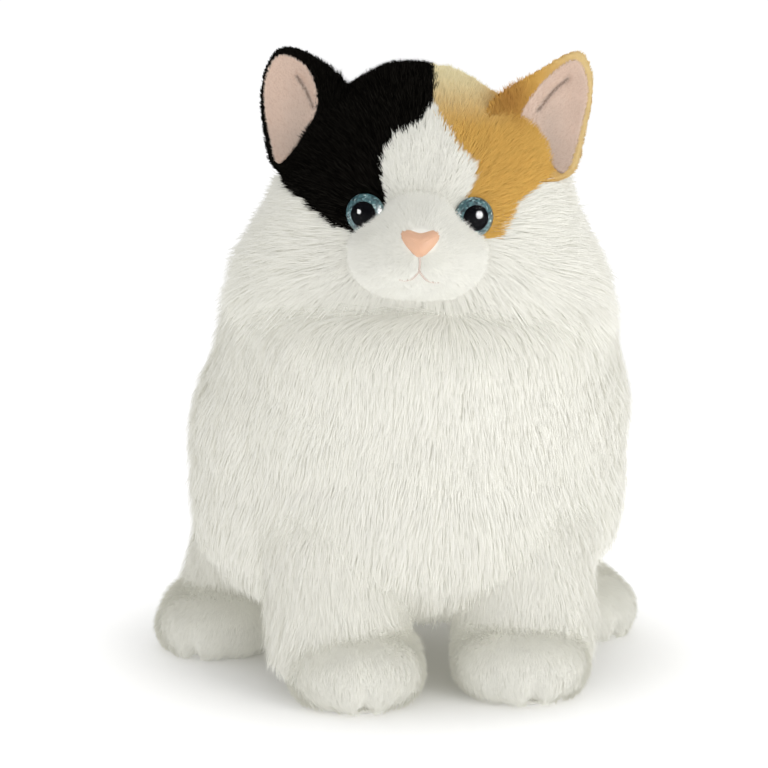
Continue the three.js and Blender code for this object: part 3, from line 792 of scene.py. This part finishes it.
def muzzle_front(x, z):
    """Where the muzzle's cloth is in y, for flat places on its front."""
    round_off = np.sqrt(np.clip(1 - muzzle_rim(x, z) ** 2.2, 0, 1))
    y = MUZZLE_AT[1] - MUZZLE_LONG * round_off
    puff = bell(np.abs(x) - 10.5, 7) * bell(z - 177, 7)
    chin = bell(x, 8) * bell(z - 169, 4)
    flat = np.stack([x, z], axis=-1).reshape(-1, 2)
    crease = bell(lip_distance(flat), 1.3).reshape(np.shape(x))
    return y - 1.6 * puff * round_off - 0.6 * chin * round_off + 1.3 * crease


def on_muzzle(flat, inwards):
    """Points mm behind the muzzle's cloth for flat places on its front."""
    x, z = flat.T
    return rows(x, muzzle_front(x, z) + inwards, z)


def muzzle_shape(n):
    across, along, up = n.T
    corner = (np.abs(across) ** MUZZLE_SQUARE + np.abs(up) ** MUZZLE_SQUARE) ** (1 / MUZZLE_SQUARE)
    square = np.hypot(across, up) / np.maximum(corner, TINY)
    z = MUZZLE_AT[2] + up * square * np.where(up > 0, MUZZLE_UP, MUZZLE_DOWN)
    x = MUZZLE_AT[0] + across * square * MUZZLE_WIDE * muzzle_narrow(z)
    back = MUZZLE_AT[1] + along * MUZZLE_LONG
    return rows(x, np.where(along < 0, muzzle_front(x, z), back), z)


def muzzle_flow(roots, normals):
    """Velvet lies outwards from the nose, and upwards between the eyes."""
    return roots - to_row(NOSE_AT + [0, 0, -2.0], HEAD)


def muzzle_length(roots):
    """Trimmed close beside the mouth and under the nose, gone inside the head."""
    x, y, z = local(roots, HEAD).T
    nose = np.hypot(x / 8.2, (z - 188) / 5.6)
    rim = smoothstep(muzzle_rim(x, z), 0.55, 1.0)
    size = (0.45 + 0.55 * smoothstep(lip_distance(rows(x, z)), 0.3, 2.6)) * (1 + 1.1 * rim)
    return np.where((y > -50) | (nose < 0.8), 0, size)


def build_nose():
    """A padded peach triangle of upright satin stitches."""
    edge = curve_through([[0, 191.2], [5, 192.3], [7.8, 191], [6.2, 187.4], [2.4, 183.2],
                          [0, 181.8], [-2.4, 183.2], [-6.2, 187.4], [-7.8, 191], [-5, 192.3]],
                         80, closed=True)
    middle = np.array([[0, 188.3]])
    count, rings = len(edge), 16
    points = []
    for share in np.arange(1, rings + 1) / rings:
        flat = middle + (edge - middle) * share
        dome = 2.9 * (1 - share ** 3) - 0.9 * share ** 8 + 0.2
        stitch = 0.10 * np.cos(flat[:, 0] * 2 * np.pi / 0.55) * (share < 1)
        points.append(on_muzzle(flat, -dome - stitch))
    points += [on_muzzle(middle, -3.1), on_muzzle(middle, 1.5)]
    tip, outer = rings * count, (rings - 1) * count
    faces = dish(tip, 0, count, rings)
    faces += [(tip + 1, outer + (i + 1) % count, outer + i) for i in range(count)]
    nose = new_object("nose_pad", np.vstack(points), faces, HEAD)
    settle(nose, NOSE_SATIN, "head", "nose_embroidery")


def build_muzzle():
    skin = rounded("muzzle_skin", muzzle_shape, 5, HEAD)
    dye(skin, WHITE_SHORT)
    settle(skin, SHORT_PILE, "head", "muzzle_stuffing")
    grow(skin, "velvet", muzzle_flow, WHITE_SHORT, 31, SHORT_PILE, "head",
         {"muzzle_velvet": ("muzzle_cover", everywhere)}, muzzle_length)
    paths = [on_muzzle(curve_through(line, 18), -0.9) for line in LIP_LINES]
    settle(thread("mouth_thread", paths, 0.42, HEAD), MOUTH_THREAD, "head", "mouth_stitch")
    build_nose()


# ---- Eyes ----
EYE_RADIUS, EYE_BULGE = 7.9, 4.8  # mm
IRIS_RADIUS, IRIS_BULGE = EYE_RADIUS - 0.25, EYE_BULGE - 0.2
EYES_MOVED = (-0.7, 0, -1.3)  # mm, both eyes sit a little low and to the cat's right
EYE_SUNK = 4.4  # mm, from the CAD dome's middle in to the rim of this one
PUPIL_SHARE = 0.64  # of the eye's radius


def eye_middle(side):
    dome = node_points(side + "_eye_dome").mean(axis=0)
    return dome + np.array(HEAD.to_3x3() @ Vector(EYES_MOVED)) * MM


def bulge(radius, lift, stop=1.0):
    """Rows [radius, height] down a low dome, from its crown out to a share of its radius."""
    foot = lift * math.sqrt(0.08)
    return [(radius * s, lift * math.sqrt(max(0, 1 - 0.92 * s * s)) - foot)
            for s in np.linspace(0, stop, 14)]


def build_eye(side):
    """Clear dome over a glitter iris and black pupil, with a post through the cloth and a washer
    behind it."""
    dome_at = node_points(side + "_eye_dome").mean(axis=0)
    axis = Vector(unit(dome_at - node_points(side + "_eye_washer").mean(axis=0)))
    base = Vector(eye_middle(side)) - axis * EYE_SUNK * MM
    place = Matrix.Translation(base) @ axis.to_track_quat("Z", "X").to_matrix().to_4x4()
    lens = bulge(EYE_RADIUS, EYE_BULGE) + [(EYE_RADIUS, -0.3), (0, -0.3)]
    foil = bulge(IRIS_RADIUS, IRIS_BULGE) + [(IRIS_RADIUS, -0.8), (0, -0.8)]
    cap = [(r, h + 0.12) for r, h in bulge(IRIS_RADIUS, IRIS_BULGE, PUPIL_SHARE)]
    pupil = cap + [(EYE_RADIUS * PUPIL_SHARE, 1.5), (1.6, 1.2), (1.6, -13), (0, -13)]
    lock = [(0, -9), (6.5, -9), (7, -9.6), (6.5, -10.4), (0, -10.4)]
    for name, profile, finish, node in (
            ("lens", lens, CLEAR, "dome"), ("foil", foil, GLITTER, "iris"),
            ("pupil", pupil, EYE_BLACK, "post"), ("lock", lock, NYLON, "washer")):
        made = turned(side + "_eye_" + name, profile, place)
        settle(made, finish, "head", side + "_eye_" + node)


# ---- Ears, drawn for the cat's right and mirrored ----
EAR_OUTLINE = {
    "right": [[-27, 221], [-27, 236], [-38, 247.5], [-53.5, 254], [-61.5, 249], [-64.5, 236],
              [-62.5, 222], [-57.5, 209], [-44, 207]],
    "left": [[-25, 220], [-25, 236], [-41, 246.5], [-57, 255.5], [-63, 250.5], [-64.5, 240],
             [-62, 225], [-57, 210], [-42, 208]],
}
EAR_LINING = {
    "right": [[-46.5, 246], [-57, 250.5], [-62, 244], [-62.8, 232], [-59.5, 219], [-56, 210.5],
              [-50, 216], [-44, 226], [-42, 235]],
    "left": [[-44, 242.5], [-56, 252], [-61, 248], [-62.4, 239], [-59.5, 224], [-54, 210.5],
             [-46.5, 216], [-36.5, 229]],
}
EAR_MIDDLE, LINING_MIDDLE = np.array([-47, 230.0]), np.array([-53, 233.0])
EAR_DART = {"right": np.array([[-50.5, 242.5], [-47, 238], [-43.5, 231]]),
            "left": np.array([[-54.5, 244.8], [-49, 240.0], [-43.5, 233]])}
EAR_RINGS = 22


def ear_front(flat, side):
    """The cupped front of an ear: where it is in y for flat places x, z in head space, with
    outwards as -x."""
    rim = np.linalg.norm((flat - EAR_MIDDLE) / [19, 23], axis=1)
    lean = 0.55 * (flat[:, 1] - 240)
    outward = -0.5 * (flat[:, 0] + 50)
    cup = 6.5 * np.clip(rim, 0, 1.15) ** 2
    hollow = 2.5 * bell(flat[:, 0] + 53, 9) * bell(flat[:, 1] - 231, 14)
    dart = 1.4 * bell(distance_to_path(flat, EAR_DART[side]), 1.4)
    return -14 + lean + outward - cup + hollow + dart


def ear_sheet(name, outline, middle, side, front, back):
    """A closed sheet within an outline, front and back mm off the ear's front surface."""
    sign = SIDES[side]
    edge = curve_through(outline, 72, closed=True)
    count = len(edge)
    shares = [ring / EAR_RINGS for ring in range(1, EAR_RINGS + 1)]
    flat = np.vstack([middle] + [middle + (edge - middle) * share for share in shares])
    thin = np.concatenate([[1.0]] + [np.full(count, math.sqrt(1 - s ** 6)) for s in shares])
    centre = (front + back) / 2
    layers = [rows(flat[:, 0] * -sign, ear_front(flat, side) + centre + (level - centre) * thin,
                   flat[:, 1]) for level in (front, back)]
    size = len(flat)
    faces = dish(0, 1, count, EAR_RINGS, sign > 0)
    faces += dish(size, size + 1, count, EAR_RINGS, sign < 0)
    outer = 1 + (EAR_RINGS - 1) * count
    for i in range(count):
        j = (i + 1) % count
        wall = (outer + j, outer + i, size + outer + i, size + outer + j)
        faces.append(wall if sign < 0 else wall[::-1])
    made = new_object(name, np.vstack(layers), faces, HEAD)
    tidy_normals(made)
    return made


def build_ear(side):
    mirror = np.array([-SIDES[side], 1, 1])
    ear = side + "_ear"
    coat, finish = {"right": (flat_black, BLACK_PILE), "left": (ear_orange, ORANGE_PILE)}[side]
    skin = ear_sheet(ear + "_skin", EAR_OUTLINE[side], EAR_MIDDLE, side, 0.0, 2.6)
    dye(skin, coat(surface(skin)[0]))
    settle(skin, finish, ear)
    lining_edge = curve_through(EAR_LINING[side], 60, closed=True)
    lining_rim = np.vstack([lining_edge, lining_edge[:1]])
    ear_edge = curve_through(EAR_OUTLINE[side], 60, closed=True)
    base = to_row(np.array([-38, -24, 208]) * mirror, HEAD)

    def flow(roots, normals):
        return roots - base

    def length(roots):
        p = local(roots, HEAD) * mirror
        flat = p[:, [0, 2]]
        on_front = p[:, 1] < ear_front(flat, side) + 0.9
        near = distance_to_path(flat, lining_rim)
        inner = smoothstep(flat[:, 0], -50, -38)
        front_size = 0.15 + 0.12 * inner + 0.25 * inner * smoothstep(near, 1, 8)
        front_size = np.where(inside(flat, lining_edge) & (near > 0.7), 0, front_size)
        edge = smoothstep(distance_to_path(flat, ear_edge), 0, 7)
        return np.where(on_front, front_size, 0.2 + 0.45 * edge)

    def front_only(roots):
        p = local(roots, HEAD) * mirror
        return 1.0 * (p[:, 1] < ear_front(p[:, [0, 2]], side) + 0.1)

    def pink(roots):
        return lining_colour((local(roots, HEAD) * mirror)[:, [0, 2]], side)

    grow(skin, "short", flow, coat, 41, finish, ear, {ear + "_fur": (ear + "_back", everywhere)},
         length, 0.6 if side == "right" else 0.03)
    lining = ear_sheet(ear + "_pad", EAR_LINING[side], LINING_MIDDLE, side, -0.7, 0.4)
    dye(lining, pink(surface(lining)[0]))
    settle(lining, EAR_CLOTH, ear)
    grow(lining, "suede", flow, pink, 42, EAR_VELVET, ear,
         {ear + "_velvet": (ear + "_lining", everywhere)}, front_only)


def tidy_normals(made):
    bm = bmesh.new()
    bm.from_mesh(made.data)
    bmesh.ops.recalc_face_normals(bm, faces=bm.faces)
    bm.to_mesh(made.data)
    bm.free()
    made.data.shade_smooth()


def flat_black(roots):
    return np.tile(BLACK, (len(roots), 1))


def ear_orange(roots):
    x, _, z = local(roots, HEAD).T[:, :, None]
    # Painted light: the orange is paler out towards the ear's outer edge.
    pale = smoothstep(np.abs(x), 40, 62)
    # Painted shade: deeper orange on the ear's inner side, where it meets the head.
    deep = bell(np.abs(x) - 32, 9) * bell(z - 236, 10)
    return mix(mix(ORANGE, ORANGE_PAINTED_LIGHT, 0.5 * pale), ORANGE_PAINTED_SHADE, 0.8 * deep)


def lining_colour(flat, side):
    """Pink, deeper along the dart, with painted shade lower down and in the hollow."""
    crease = bell(distance_to_path(flat, EAR_DART[side]), 0.7)[:, None]
    # Painted shade: the pink is darker low on the lining and down in its hollow.
    hollow = bell(flat[:, 0] + 48, 6) * bell(flat[:, 1] - 224, 12)
    shade = 1.1 - 0.15 * smoothstep(228 - flat[:, 1], 0, 16) - 0.2 * hollow
    return mix(PINK * shade[:, None], DART_BROWN, crease)


# ---- Legs and paws, drawn for the cat's right and mirrored ----
# A pivot with the radius of the ball round it, the ankle and its radius, the foot's middle and half
# sizes, and how many degrees the foot turns outwards
Leg = namedtuple("Leg", "pivot ball ankle ankle_radius foot half splay")
LEGS = {
    "front": Leg((-39, -41, 60), 27, (-37.5, -52), 27, (-33.5, -63.5, 13), (25.5, 26.5, 16.5), 0),
    "hind": Leg((-54, 42, 58), 27, (-72, 36), 22, (-75, 30, 10), (25, 32, 17), -30),
}
TOE_SPREAD = 36  # degrees each side of straight ahead


def on_foot(leg, place, sign):
    """Foot axes to BUILD space: the foot points forwards and outwards; sign mirrors it to the cat's
    left."""
    turn = math.radians(leg.splay)
    across, ahead, up = place.T
    x = leg.foot[0] + across * math.cos(turn) - ahead * math.sin(turn)
    y = leg.foot[1] + across * math.sin(turn) + ahead * math.cos(turn)
    return rows(-sign * x, y, leg.foot[2] + up)


def foot_axes(leg, points, sign):
    """BUILD space to foot axes."""
    turn = math.radians(leg.splay)
    x, y, z = (points * [-sign, 1, 1] - leg.foot).T
    along, across = (math.cos(turn), math.sin(turn)), (-math.sin(turn), math.cos(turn))
    return rows(x * along[0] + y * along[1], x * across[0] + y * across[1], z)


def toe_valley(leg, place):
    """0 to 1: how near a place on the foot, in foot axes, is to the parting between two toes."""
    ahead = place / leg.half
    azimuth = np.degrees(np.arctan2(ahead[:, 0], -ahead[:, 1]))
    rise = np.degrees(np.arcsin(np.clip(ahead[:, 2], -1, 1)))
    line = bell(azimuth, 6) + 0.5 * bell(np.abs(azimuth) - TOE_SPREAD, 8)
    return line * (1 - smoothstep(rise, -8, 22))


def build_paw(body, leg, sign):
    half, floor = np.array(leg.half), -leg.foot[2]

    def shape(n):
        full = np.sign(n) * np.abs(n) ** 0.93
        place = full * half
        place = place - full * (1.7 * toe_valley(leg, place))[:, None]
        place[:, 2] = np.maximum(place[:, 2], 1.2 + floor)
        return on_foot(leg, place, sign)

    skin = rounded(body + "_paw_skin", shape, 5, BUILD)
    if sign > 0:
        skin.data.flip_normals()
    place = foot_axes(leg, local(surface(skin)[0], BUILD), sign)
    seam = np.where(toe_valley(leg, place) > 0.75, 0, 9.0)
    seam[place[:, 2] < 1.6 + floor] = 0
    stuff(skin, seam, depth=0.4, pressure=3.0, reach=1.2)
    dye(skin, WHITE_SHORT)
    settle(skin, SHORT_PILE, body, body + "_pellets")

    def flow(roots, normals):
        turn = math.radians(leg.splay)
        forward = np.array([-sign * math.sin(turn), -math.cos(turn), 0])
        return forward * 0.7 + np.array([0, 0, -0.7])

    def length(roots):
        place = foot_axes(leg, local(roots, BUILD), sign)
        under = place[:, 2] < 2.2 + floor
        inside_leg = np.hypot(place[:, 0], place[:, 1] - 0.45 * half[1]) < 12
        instep = smoothstep(place[:, 1], -12, 6) * smoothstep(place[:, 2], 4, 12)
        size = 1 - 0.35 * toe_valley(leg, place) + 0.7 * instep
        return np.where(under | (inside_leg & (place[:, 2] > 4)), 0, size)

    grow(skin, "paw", flow, WHITE_SHORT, 51, SHORT_PILE, body,
         {body + "_paw_fur": (body + "_paw_top", everywhere)}, length)


def build_toes_and_sole(body, leg, sign):
    """Stitches that part the toes, and the flat patch under the foot."""
    half = np.array(leg.half)
    rise = np.radians(np.linspace(2, -38, 16))
    paths = []
    for azimuth in (math.radians(-TOE_SPREAD), math.radians(TOE_SPREAD)):
        out = rows(np.sin(azimuth) * np.cos(rise), -np.cos(azimuth) * np.cos(rise), np.sin(rise))
        paths.append(on_foot(leg, out * (half - 1.4), sign))
    stitches = thread(body + "_toe_thread", paths, 0.35, BUILD)
    settle(stitches, PALE_THREAD, body, body + "_toe_stitches")
    sides = 48
    turn = np.linspace(0, 2 * np.pi, sides, endpoint=False)
    x, y = np.cos(turn) * half[0] * 0.72, np.sin(turn) * half[1] * 0.74
    points = np.vstack([on_foot(leg, rows(x, y, z - leg.foot[2]), sign) for z in (0.5, 2.0)])
    sole = new_object(body + "_sole", points, tube(0, sides, 2) + caps(0, sides, 2), BUILD)
    tidy_normals(sole)
    settle(sole, SOLE_CLOTH, body, body + "_sole_patch")


def build_leg(side, which):
    """A sleeve that leans from hip or shoulder to ankle, with long pile falling over the paw."""
    leg, sign = LEGS[which], SIDES[side]
    body = side + "_" + which + "_leg"
    pivot, ankle = np.array(leg.pivot), np.array(leg.ankle)

    def shape(n):
        up = n[:, 2]
        down = np.clip(-up, 0, 1)
        flat = np.hypot(n[:, 0], n[:, 1])
        outward = n[:, :2] / np.maximum(flat, TINY)[:, None]
        sleeve = leg.ball + (leg.ankle_radius - leg.ball) * down
        radius = np.where(up > 0, leg.ball * flat, sleeve * np.clip(flat * 3.2, 0, 1))
        x, y = (pivot[:2] + (ankle - pivot[:2]) * down[:, None] + outward * radius[:, None]).T
        return rows(-sign * x, y, pivot[2] + up * np.where(up > 0, leg.ball, pivot[2] - 12))

    skin = rounded(body + "_skin", shape, 5, BUILD)
    if sign > 0:
        skin.data.flip_normals()
    dye(skin, WHITE_LONG)
    settle(skin, LONG_PILE, body, body + "_stuffing")

    def flow(roots, normals):
        return np.array([0, -0.15, -1.0]) + normals * [0.3, 0.3, 0]

    def length(roots):
        p = local(roots, BUILD)
        flank = (p - [0, 4, 92]) / [72, 72, 50]
        buried = (np.linalg.norm(flank, axis=1) < 1) | (p[:, 2] > pivot[2] + 20)
        size = 1.05 - 0.4 * smoothstep(30 - p[:, 2], 0, 20)
        return np.where(buried | (p[:, 2] < 7), 0, size)

    grow(skin, "leg", flow, WHITE_LONG, 61, LONG_PILE, body,
         {body + "_fur": (body + "_sleeve", everywhere)}, length, shortest=0.45)
    build_paw(body, leg, sign)
    build_toes_and_sole(body, leg, sign)


# ---- Tail ----
TAIL_PATH = [[0, 82, 76], [0, 102, 80], [0, 111, 96], [0, 112, 120]]
TAIL_RADIUS = 8.5


def build_tail():
    path = curve_through(TAIL_PATH, 40)
    heading = unit(np.gradient(path, axis=0))

    def shape(n):
        at = (n[:, 2] + 1) / 2 * (len(path) - 1)
        index = np.clip(at.astype(int), 0, len(path) - 2)
        f = (at - index)[:, None]
        middle = mix(path[index], path[index + 1], f)
        up = np.cross(unit(mix(heading[index], heading[index + 1], f)), [1.0, 0, 0])
        flat = np.maximum(np.hypot(n[:, 0], n[:, 1]), TINY)
        reach = (TAIL_RADIUS * np.sqrt(1 - n[:, 2] ** 6) / flat)[:, None]
        return middle + reach * n[:, :1] * [1, 0, 0] - reach * n[:, 1:2] * up

    skin = rounded("tail_skin", shape, 5, BUILD)
    tidy_normals(skin)
    dye(skin, WHITE_LONG)
    settle(skin, LONG_PILE, "tail", "tail_stuffing")
    ends = to_row(path, BUILD)

    def flow(roots, normals):
        nearest = np.argmin(np.linalg.norm(roots[:, None] - ends[None], axis=2), axis=1)
        return heading[nearest]

    grow(skin, "leg", flow, WHITE_LONG, 71, LONG_PILE, "tail",
         {"tail_fur": ("tail_cover", everywhere)})


# ---- Stage, light and camera ----
CAMERA_AZIMUTH, CAMERA_ELEVATION = -10, 10  # degrees
CAMERA_DISTANCE = 1.066
CAMERA_AIM = Vector((-9.6 * MM, 0, 114.5 * MM))
LIGHT_AIM = Vector((0, 0, 0.12))
LIGHTS = (
    # azimuth and elevation in degrees, distance and size in m, watts, colour, seen only in gloss
    ("key", 36, 25, 1.6, 0.8, 4.2, (1, 0.98, 0.94), False),
    ("top", 5, 70, 1.5, 1.2, 1.2, (1, 1, 1), False),
    ("fill", 0, 0, 1.6, 1.0, 0.7, (1, 1, 1), False),
    ("right_softbox", 30, 6, 1.3, 0.5, 110, (1, 1, 1), True),
    ("left_softbox", -56, 6, 1.3, 0.3, 45, (1, 1, 1), True),
)
WORLD_LIGHT, SEEN_BY_CAMERA, SEEN_IN_GLOSS = 0.65, 0.40, -0.55  # the last two add to the first
FLOOR_HALF = 6000


def place_facing(name, data, aim, azimuth, elevation, distance):
    """A camera or light that looks at a point from somewhere round it; azimuth 0 is in front."""
    azimuth, elevation = math.radians(azimuth), math.radians(elevation)
    toward = Vector((math.sin(azimuth) * math.cos(elevation),
                     -math.cos(azimuth) * math.cos(elevation), math.sin(elevation)))
    made = bpy.data.objects.new(name, data)
    made.location = aim + toward * distance
    made.rotation_euler = toward.to_track_quat("Z", "Y").to_euler()
    bpy.context.scene.collection.objects.link(made)
    return made


def add_camera():
    data = bpy.data.cameras.new("camera")
    data.lens = 120
    data.sensor_width = 36
    bpy.context.scene.camera = place_facing("camera", data, CAMERA_AIM, CAMERA_AZIMUTH,
                                            CAMERA_ELEVATION, CAMERA_DISTANCE)


def add_lights():
    for name, azimuth, elevation, distance, size, watts, colour, only_gloss in LIGHTS:
        data = bpy.data.lights.new(name, "AREA")
        data.shape = "DISK"
        data.size = size
        data.energy = watts
        data.color = colour
        light = place_facing(name, data, LIGHT_AIM, azimuth, elevation, distance)
        light.visible_diffuse = not only_gloss


def add_floor():
    """White paper that glows a little away from the cat, with a painted shadow: the glow falls off
    near the cat and dips below nought right under it.
    """
    corners = [(-1, -1), (1, -1), (1, 1), (-1, 1)]
    floor = new_object("floor", [(x * FLOOR_HALF, y * FLOOR_HALF, 0) for x, y in corners],
                       [(0, 1, 2, 3)])
    material, nodes, links, shader = new_material("floor_paper", (0.97, 0.97, 0.97), 0.95)
    dial(shader, {"Emission Color": (1, 1, 1, 1)})
    places = nodes.new("ShaderNodeTexCoord")
    distance = nodes.new("ShaderNodeVectorMath")
    distance.operation = "LENGTH"
    links.new(places.outputs["Object"], distance.inputs[0])
    rise = nodes.new("ShaderNodeMapRange")
    rise.interpolation_type = "SMOOTHSTEP"
    # Painted shadow: the glow is least, and a little below nought, right under the cat.
    dial(rise, {"From Min": 0.05, "From Max": 0.16, "To Min": -0.05, "To Max": 0.42})
    links.new(distance.outputs["Value"], rise.inputs["Value"])
    links.new(rise.outputs["Result"], shader.inputs["Emission Strength"])
    floor.data.materials.append(material)


def add_world():
    """Even white light, brighter straight to the camera and dim in reflections."""
    world = bpy.data.worlds.new("studio")
    world.use_nodes = True
    nodes, links = world.node_tree.nodes, world.node_tree.links
    path = nodes.new("ShaderNodeLightPath")
    steps = []
    for ray, change in (("Is Camera Ray", SEEN_BY_CAMERA), ("Is Glossy Ray", SEEN_IN_GLOSS)):
        step = nodes.new("ShaderNodeMath")
        step.operation = "MULTIPLY_ADD"
        links.new(path.outputs[ray], step.inputs[0])
        step.inputs[1].default_value = change
        steps.append(step)
    steps[0].inputs[2].default_value = WORLD_LIGHT
    links.new(steps[0].outputs[0], steps[1].inputs[2])
    dial(nodes["Background"], {"Color": (1, 1, 1, 1)})
    links.new(steps[1].outputs[0], nodes["Background"].inputs["Strength"])
    bpy.context.scene.world = world
    bpy.context.scene.view_settings.view_transform = "Standard"


build_torso()
build_back_details()
build_head()
build_muzzle()
for side in SIDES:
    build_eye(side)
    build_ear(side)
    for which in LEGS:
        build_leg(side, which)
build_tail()
add_floor()
add_world()
add_lights()
add_camera()
